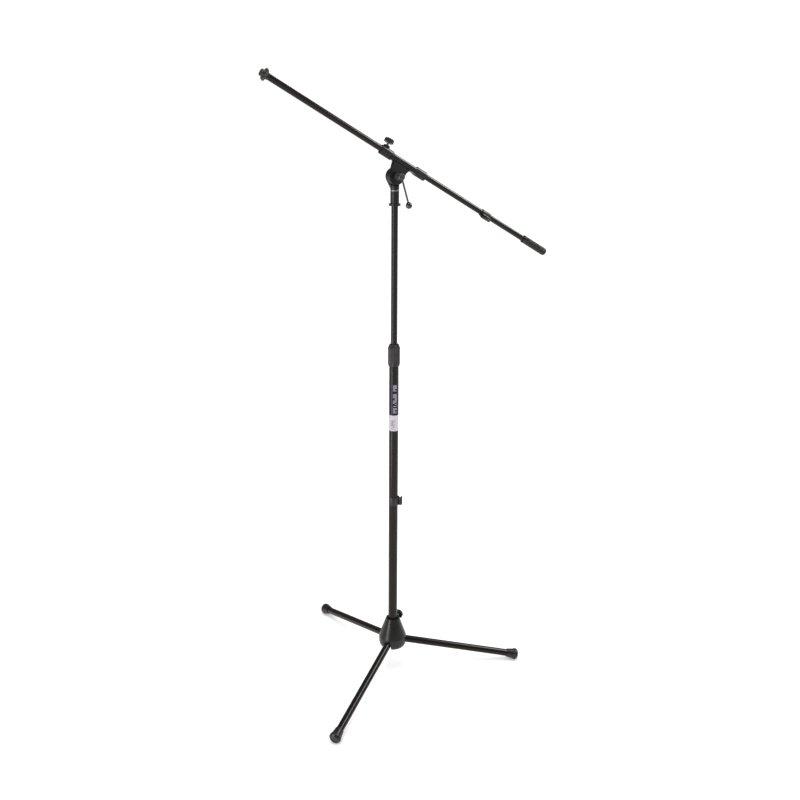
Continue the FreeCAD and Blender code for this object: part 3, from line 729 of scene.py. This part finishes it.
made("guide_bush_ring", [pipe(MAST, 10.64, UPPER_R + RUNNING, 570.0, 600.0, 96, 0.4)],
     acetal, "telescope", ["guide_bush"])

CLUTCH = (860.9, 915.3)
collar = [pipe(MAST, 13.3, LOWER_R, 866.0, 893.0, 96, 0.5),
          pipe(MAST, 13.3, 9.4, 893.0, 899.0, 96, 0.4)]
made("clutch_threaded_collar", collar, black_oxide, "lower_mast", ["clutch_body"])


def clutch_flutes(radius, height, angle):
    """Twelve broad flutes: deepest over the shoulder's cone, gone below the grip's foot."""
    dip = (0.5 - 0.5 * np.cos(12 * angle)) ** 1.8
    low, high = CLUTCH
    fade = np.clip((height - low - 3.0) / 4.0, 0, 1) * np.clip((high + 0.5 - height) / 2.0, 0, 1)
    outer = np.clip((radius - 10.2) / 1.2, 0, 1)
    depth = 1.5 + 0.7 * np.clip((height - (high - 11.0)) / 8.0, 0, 1)
    skin = (radius > 13.8) | (height > high - 9.0)
    return radius - depth * dip * fade * outer * skin, height


grip_line = rounded([
    (13.4, CLUTCH[0], 0.3),
    (13.9, CLUTCH[0], 0.5),
    (14.9, CLUTCH[0] + 4.8, 1.5),
    (14.9, CLUTCH[1] - 8.6, 2.5),
    (11.4, CLUTCH[1], 1.0),
    (8.35, CLUTCH[1], 0.4),
    (8.35, 911.4, 0.3),
    (12.0, 899.4, 0.5),
    (13.4, 898.0, 0.3),
], closed=True, steps=5)
grip_line = np.vstack([np.stack([np.interp(np.linspace(0, 1, 9)[:-1], (0, 1), (a[k], b[k]))
                                 for k in (0, 1)], -1) if np.linalg.norm(b - a) > 8 else a[None]
                       for a, b in zip(grip_line, np.roll(grip_line, -1, 0))])
made("clutch_fluted_grip", [turned(MAST, grip_line, 240, True, clutch_flutes)],
     knob_abs, "clutch_grip", ["clutch_sleeve"])


def clip_shells(axes, tube_r, length, mouth_turn, edge=0.5):
    """A band open at the back and a hook open on one side, both drawn as outlines in a plane
    square to the tube (axes.x towards the hook) and carried along it (axes.y)."""
    inner = tube_r + RUNNING
    outer = inner + 1.8
    half = 180.0 - 50.0

    def hoop(centre, low, high, start, end):
        """An arc with rounded ends, and both its sides."""
        middle, thick = (low + high) / 2, (high - low) / 2
        ends = []
        for angle, turn in ((end, 0.0), (start, 180.0)):
            tip = np.radians(angle)
            point = (centre[0] + middle * np.cos(tip), centre[1] + middle * np.sin(tip))
            ends.append(arc(thick, angle + turn, angle + turn + 180.0, 10, point)[1:-1])
        return np.vstack([arc(high, start, end, 64, centre), ends[0],
                          arc(low, end, start, 48, centre), ends[1]])

    centre = (outer + 4.0, 0.0)
    gap = math.degrees(math.asin(2.5 / 4.9)) + 6.0
    hook = hoop(centre, 4.0, 5.8, mouth_turn + gap, mouth_turn + 360.0 - gap)
    band = hoop((0.0, 0.0), inner, outer, -half, half)
    keep = plate(axes, band, 0.0, length, edge, 3)
    return [keep, plate(axes, hook, 0.0, length, edge, 3)]


def clip_axes(base, along, towards):
    """y runs along the tube, x towards the hook."""
    along, towards = unit(along), unit(towards)
    return Axes(base, towards, along, np.cross(towards, along))


side = math.radians(150.8)
hook_way = np.array([math.cos(side), math.sin(side), 0.0])
mast_clip_frame = clip_axes((0, 0, 487.2 * MM), (0, 0, 1), hook_way)
made("mast_cable_hook", clip_shells(mast_clip_frame, LOWER_R, 22.5, -90.0), knob_abs,
     "mast_clip", ["mast_cable_clip"])

# ---- head ----
made("mast_stud_threaded", [threaded(MAST, STUD_R - RUNNING, 1262.0, 1283.0),
                            bar(MAST, UPPER_R - TUBE_WALL, 1237.0, 1262.5)],
     zinc_plate, "upper_mast", ["mast_thread_insert"])
sleeve_line = rounded([
    (UPPER_R + 0.01, 1248.0, 0.4), (14.0, 1248.0, 0.8), (14.0, 1253.5, 0.8),
    (10.4, 1253.5, 0.8), (10.4, 1281.0, 0.3), (9.0, 1281.0, 0.1), (9.0, 1293.4, 0.3),
    (STUD_R, 1293.4, 0.3), (STUD_R, 1262.0, 0.0), (UPPER_R + 0.01, 1262.0, 0.0),
], closed=True)
made("flanged_sleeve", [turned(MAST, sleeve_line, 128, True)], cast_coat, "upper_mast",
     ["head_sleeve"])
made("bright_ring", [pipe(MAST, 10.4, 9.05, 1281.0, 1285.0, 128, 0.6)], chrome_plate,
     "upper_mast", ["plated_ring"])


def socket_neck():
    """A round neck whose top is hollowed by the tilting ear's own circle."""
    line = rounded([(0, 1285.0, 0), (10.5, 1285.0, 0.5), (10.5, 1300.0, 0), (0, 1300.0, 0)])
    line = np.vstack([line[:-2], np.stack([10.5 - np.linspace(0, 10.5, 14), np.full(14, 1300.0)],
                                          -1)])

    def hollow(radius, height, angle):
        x = radius * np.cos(angle)
        top = PIVOT_Z - np.sqrt(22.4 ** 2 - x ** 2)
        return radius, np.where(height > 1295.0, top, np.minimum(height, top))

    return turned(MAST, line, 96, shape=hollow)


cheek = np.vstack([
    rounded([(-18.6, -7.4, 0), (-6.2, -29.8, 2.0), (6.2, -29.8, 2.0), (18.6, -7.4, 0)]),
    arc(EAR_R, -21.0, 201.0, 110),
])
made("swivel_casting", [plate(HEAD, cheek, -EAR[1], -EAR[0], 1.2), socket_neck()], cast_coat,
     "upper_mast", ["swivel_socket"])


def hex_head(radius, height, angle):
    """Six flats: the radius is the flat's distance over the cosine of the angle from it."""
    flat = np.cos(np.pi / 6) / np.cos((angle + np.pi / 6) % (np.pi / 3) - np.pi / 6)
    return radius * np.where(radius > 3.5, flat, 1.0), height


bolt = turned(HEAD.along("y"), rounded([
    (0, -14.0, 0), (5.4, -14.0, 0.6), (6.5, -13.3, 0.3), (6.5, -10.0, 0.2), (3.0, -10.0, 0),
    (3.0, 31.0, 0.3), (0, 31.0, 0)], steps=4), 144, shape=hex_head)
made("tilt_bolt_hex", [bolt], zinc_plate, "upper_mast", ["tilt_bolt"])
made("lever_flat_washer", [pipe(HEAD.along("y"), 8.0, 3.05, 10.3, 11.8, 96, 0.25)],
     zinc_plate, "clamp_lever", ["lever_washer"])

lever_line = rounded([
    (0, 12.1, 0), (8.5, 12.1, 0.5), (8.5, 18.2, 0.3), (7.9, 18.7, 0.3), (7.9, 19.6, 0.3),
    (8.5, 20.1, 0.3), (8.5, 33.4, 1.6), (6.4, 36.1, 1.2), (2.0, 36.1, 0.6), (1.4, 35.5, 0.3),
    (0, 35.5, 0)])
made("lever_turned_hub", [turned(HEAD.along("y"), lever_line, 128)], black_oxide,
     "clamp_lever", ["lever_hub"])
LEVER = lever_axes()
made("lever_round_rod", [bar(LEVER, 2.2, 4.7, 64.9, 48, 0.3)], black_oxide, "clamp_lever",
     ["lever_rod"])
dome = np.linspace(-0.95, np.pi / 2, 40)
knob_line = np.vstack([
    [(0, 68.0 - 7.75 * math.sin(0.95) - 1.6), (3.6, 68.0 - 7.75 * math.sin(0.95) - 1.6)],
    [(3.9, 68.0 - 7.75 * math.sin(0.95) - 1.2)],
    np.stack([7.75 * np.cos(dome), 68.0 + 7.75 * np.sin(dome)], -1)[:-1],
    [(0, 75.75)]])
made("lever_ball_knob", [turned(LEVER, knob_line, 96)], ball_gloss, "clamp_lever",
     ["lever_ball"])


# ---- saddle ----

def collar(span):
    """A collar round the boom: the radius at an angle from straight down is the larger of the
    ring's and that of a round lump whose centre lies a little lower."""
    x0, x1 = span
    angle = np.linspace(0, 2 * np.pi, 128, endpoint=False)
    cosine, sine = np.cos(angle), np.abs(np.sin(angle))
    block = 4.2 * cosine + np.sqrt(64.0 - (4.2 * sine) ** 2)
    ring = np.maximum(COLLAR_R, block)
    for _ in range(3):
        ring = (np.roll(ring, 1) + ring * 2 + np.roll(ring, -1)) / 4
    t = np.linspace(0, np.pi / 2, 6)
    edge = 1.1
    x = np.r_[x0, x0 + edge * (1 - np.cos(t)), x1 - edge * (1 - np.cos(t))[::-1], x1]
    inset = np.r_[edge * 1.15, edge * (1 - np.sin(t)), edge * (1 - np.sin(t))[::-1], edge * 1.15]
    outer = ring[None, :] - inset[:, None]
    bore = np.full((2, len(angle)), COLLAR_BORE)
    radius = np.vstack([outer, bore])
    place = np.r_[x, x1, x0][:, None]
    points = BOOM_LINE.place(place, radius * np.sin(angle), -radius * np.cos(angle))
    return outward(points, [grid_faces(len(radius), len(angle), wrap_rows=True)])


def trough():
    """A channel under the boom: at each place along it a C of outer and inner wall, whose arms
    rise from level with the boom's axis towards the collars by a smooth step."""
    x = np.linspace(REAR_COLLAR[1] - 4.0, FRONT_COLLAR[0] + 4.0, 90)
    left = np.minimum(x - (REAR_COLLAR[1] - 1.0), FRONT_COLLAR[0] + 1.0 - x)
    t = np.clip(1 - left / 6.0, 0, 1)
    rise = t * t * (3 - 2 * t)
    arm = np.radians(90.0 + 48.0 * rise)
    share = np.linspace(-1, 1, 61)
    angle = arm[:, None] * share[None, :]
    depth = 9.7 + 1.2 * rise[:, None]
    near = np.where(angle > 0, 9.95, COLLAR_R - 0.05)
    square = np.where(angle > 0, 14.0, 5.0)
    cosine, sine = np.maximum(np.cos(angle), 1e-6), np.abs(np.sin(angle))
    box = ((cosine / depth) ** square + (sine / near) ** square) ** (-1 / square)
    outer = np.where(np.cos(angle) > 0, box, COLLAR_R - 0.15)
    inner = np.full_like(outer, BOOM_R + 0.35)[:, ::-1]
    radius = np.hstack([outer, inner])
    angle = np.hstack([angle, angle[:, ::-1]])
    points = BOOM_LINE.place(x[:, None], radius * np.sin(angle), -radius * np.cos(angle))
    count = radius.shape[1]
    first = np.arange(count)[None, :]
    last = first + (len(x) - 1) * count
    return outward(points, [grid_faces(len(x), count), first[:, ::-1], last])


ear_line = np.vstack([
    arc(EAR_R, 176.0, 364.0, 100),
    rounded([(19.6, 3.6, 0), (25.0, 27.9, 1.0), (25.0, 30.0, 0.5), (-25.0, 30.0, 0.5),
             (-25.0, 27.9, 1.0), (-19.6, 16.7, 8.0), (-19.6, 3.6, 0)], steps=10),
])
saddle_boss = rounded([(3.1, 7.6, 0), (7.9, 7.6, 0), (7.6, 13.5, 1.0), (3.1, 13.5, 0.4)],
                      closed=True)
made("saddle_casting", [
    plate(TILT, ear_line, EAR[0], EAR[1] - 0.05, 1.2),
    trough(),
    collar(FRONT_COLLAR),
    collar(REAR_COLLAR),
    turned(BOOM_LINE.moved(BOOM_SCREW_X, 0, 0), saddle_boss, 80, True),
], cast_coat, "saddle", ["boom_saddle"])
for name, span in (("front", FRONT_COLLAR), ("rear", REAR_COLLAR)):
    made("collar_bush_" + name,
         [pipe(BOOM_LINE.along("x"), COLLAR_BORE - RUNNING, BOOM_R + RUNNING, *span, 96, 0.2)],
         liner_nylon, "boom_liner", ["saddle_bush_" + name])
SCREW = BOOM_LINE.moved(BOOM_SCREW_X, 0, 0)
made("boom_screw_fluted_knob", [thumb_knob(SCREW, BOOM_KNOB_R, *BOOM_KNOB)], knob_abs,
     "boom_screw", ["boom_screw_knob"])
made("boom_screw_threaded_shank", [threaded(SCREW, 2.94, 8.26, 26.2, 1.0, 0.5, 32)],
     zinc_plate, "boom_screw", ["boom_screw_shank"])

# ---- boom ----
ALONG_BOOM = BOOM_LINE.along("x")
made("boom_round_tube", [pipe(ALONG_BOOM, BOOM_R, BOOM_R - TUBE_WALL, *BOOM, 112)],
     tube_coat, "boom", ["boom_tube"])
made("microphone_thread", [threaded(ALONG_BOOM, STUD_R, *STUB),
                           bar(ALONG_BOOM, BOOM_R - TUBE_WALL - 0.02, 336.0, 366.5)],
     black_oxide, "boom", ["boom_thread_insert"])


def ribs(radius, height, angle):
    """Sixteen long ribs between the grip's front lip and its rounded end."""
    low, high = GRIP[0] + 9.0, GRIP[1] - 7.0
    ends = np.clip(np.minimum(height - low, high - height) / 2.0, 0, 1)
    groove = (0.5 - 0.5 * np.cos(16 * angle)) ** 3
    return radius - 0.85 * groove * ends * (radius > BOOM_R + 1.5), height


grip_profile = rounded([
    (0, GRIP[0], 0), (6.8, GRIP[0], 1.2), (9.7, GRIP[0] + 3.0, 2.0), (9.9, GRIP[0] + 8.0, 1.0),
    (9.75, GRIP[0] + 9.2, 0), (9.75, GRIP[0] + 11.0, 0), (9.75, GRIP[1] - 9.2, 0),
    (9.75, GRIP[1] - 7.2, 0), (10.0, GRIP[1] - 5.6, 0.5), (10.0, GRIP[1] - 1.5, 0.8),
    (8.6, GRIP[1], 0.6), (BOOM_R + 0.02, GRIP[1], 0.1), (BOOM_R + 0.02, BOOM[0] - 0.02, 0),
    (0, BOOM[0] - 0.02, 0)], steps=5)
made("ribbed_grip", [turned(ALONG_BOOM, grip_profile, 256, shape=ribs)], grip_rubber, "boom",
     ["boom_grip"])

nut_low, nut_high = LOCK_NUT
nut_line = rounded([
    (STUD_R + RUNNING, nut_low, 0.3), (11.4, nut_low, 0.6), (14.0, nut_low + 1.4, 1.4),
    (14.0, nut_high - 1.4, 1.4), (11.4, nut_high, 0.6), (STUD_R + RUNNING, nut_high, 0.3),
], closed=True)


def nut_lobes(radius, height, angle):
    """Eight rounded lobes: the radius dips between them, the bore stays round."""
    dip = (0.5 - 0.5 * np.cos(8 * angle)) ** 1.4
    return radius - 2.2 * dip * np.clip((radius - 9.0) / 4.0, 0, 1), height


made("lobed_lock_nut", [turned(ALONG_BOOM, nut_line, 192, True, nut_lobes)], black_oxide,
     "lock_nut", ["mic_lock_nut"])
lean = math.radians(50.0)
hook_way = -BOOM_LINE.z * math.cos(lean) + BOOM_LINE.y * math.sin(lean)
boom_clip_frame = clip_axes(BOOM_LINE.place(-286.2, 0, 0)[0], BOOM_LINE.x, hook_way)
turn = -40.0
made("boom_cable_hook", clip_shells(boom_clip_frame, BOOM_R, 27.0, turn), knob_abs,
     "boom_clip", ["boom_cable_clip"])

# ---- pieces that keep their own shape ----
for node, material in (("clutch_collet", acetal), ("friction_disc", liner_nylon)):
    carried = frame["nodes"][node]
    carried.data.materials.clear()
    carried.data.materials.append(material)


# ---- floor, light and camera ----

def sheet(name, corners, material):
    mesh = bpy.data.meshes.new(name)
    mesh.from_pydata(corners, [], [tuple(range(len(corners)))])
    mesh.materials.append(material)
    piece = bpy.data.objects.new(name, mesh)
    bpy.context.scene.collection.objects.link(piece)
    return piece


floor_paint = finish("pale_studio_floor", "#fafafa", 0.85, 40.0, 0.0, dust=0.0, specular=0.1)
glow = floor_paint.node_tree.nodes["Principled BSDF"].inputs
glow["Emission Color"].default_value = (1, 1, 1, 1)
glow["Emission Strength"].default_value = 0.18
sheet("floor", [(-60, -60, 0), (60, -60, 0), (60, 60, 0), (-60, 60, 0)], floor_paint)


def softbox(name, azimuth, distance, height, size, power, target, mirrored_only=True):
    """A rectangular lamp at an azimuth and height, turned towards a point; one that is only
    mirrored draws highlights on gloss and adds no light to matt faces."""
    lamp = bpy.data.lights.new(name, "AREA")
    lamp.shape = "RECTANGLE"
    lamp.size, lamp.size_y = size
    lamp.energy = power
    piece = bpy.data.objects.new(name, lamp)
    piece.visible_camera = False
    piece.visible_diffuse = not mirrored_only
    a = math.radians(azimuth)
    place = np.array([distance * math.cos(a), distance * math.sin(a), height])
    back = unit(place - np.array(target, float))
    right = unit(np.cross((0, 0, 1), back)) if abs(back[2]) < 0.999 else np.array([1.0, 0, 0])
    up = np.cross(back, right)
    piece.matrix_world = Matrix([[*row, p] for row, p in zip(np.stack([right, up, back], 1),
                                                            place)] + [[0, 0, 0, 1]])
    bpy.context.scene.collection.objects.link(piece)


softbox("tall_box_left", 14.0, 1.5, 0.8, (0.36, 1.6), 20.0, (0, 0, 0.9))
softbox("high_box_right", 166.0, 1.9, 2.4, (1.5, 0.8), 60.0, (0.1, 0, 1.35))
softbox("overhead_box", 50.0, 0.5, 3.4, (1.6, 1.6), 34.0, (0, 0, 0.6), False)

# The studio: white to look at and as a wrap-round light, and dim where gloss mirrors it.
world = bpy.data.worlds.new("studio")
bpy.context.scene.world = world
world.use_nodes = True
sky = world.node_tree
wrap = sky.nodes["Background"]
wrap.inputs["Color"].default_value = (1, 1, 1, 1)
wrap.inputs["Strength"].default_value = 1.06
dim = add(sky, "ShaderNodeBackground", None, {"Color": (1, 1, 1, 1), "Strength": 0.25})
rays = add(sky, "ShaderNodeLightPath")
both = add(sky, "ShaderNodeMixShader", None, {
    0: rays.outputs["Is Glossy Ray"], 1: wrap.outputs[0], 2: dim.outputs[0]})
sky.links.new(both.outputs[0], sky.nodes["World Output"].inputs["Surface"])
bpy.context.scene.view_settings.view_transform = "Standard"

AZIMUTH, DISTANCE, HEIGHT = math.radians(60.82), 2.07716, 1.4124
PITCH, YAW, ROLL = (math.radians(v) for v in (17.152, 0.433, 0.407))
ahead = np.array([-math.cos(AZIMUTH), -math.sin(AZIMUTH), 0])
right = np.array([-math.sin(AZIMUTH), math.cos(AZIMUTH), 0])
level = ahead * math.cos(YAW) + right * math.sin(YAW)
right = right * math.cos(YAW) - ahead * math.sin(YAW)
up = np.array([0, 0, 1]) * math.cos(PITCH) + level * math.sin(PITCH)
view = level * math.cos(PITCH) - np.array([0, 0, 1]) * math.sin(PITCH)
right, up = (right * math.cos(ROLL) + up * math.sin(ROLL),
             up * math.cos(ROLL) - right * math.sin(ROLL))
camera = bpy.data.cameras.new("view")
camera.lens = 39.0
camera.sensor_width = 36.0
camera_piece = bpy.data.objects.new("view", camera)
camera_piece.matrix_world = Matrix([
    [right[i], up[i], -view[i], (-ahead * DISTANCE)[i] if i < 2 else HEIGHT] for i in range(3)
] + [[0, 0, 0, 1]])
bpy.context.scene.collection.objects.link(camera_piece)
bpy.context.scene.camera = camera_piece

bpy.context.view_layer.update()
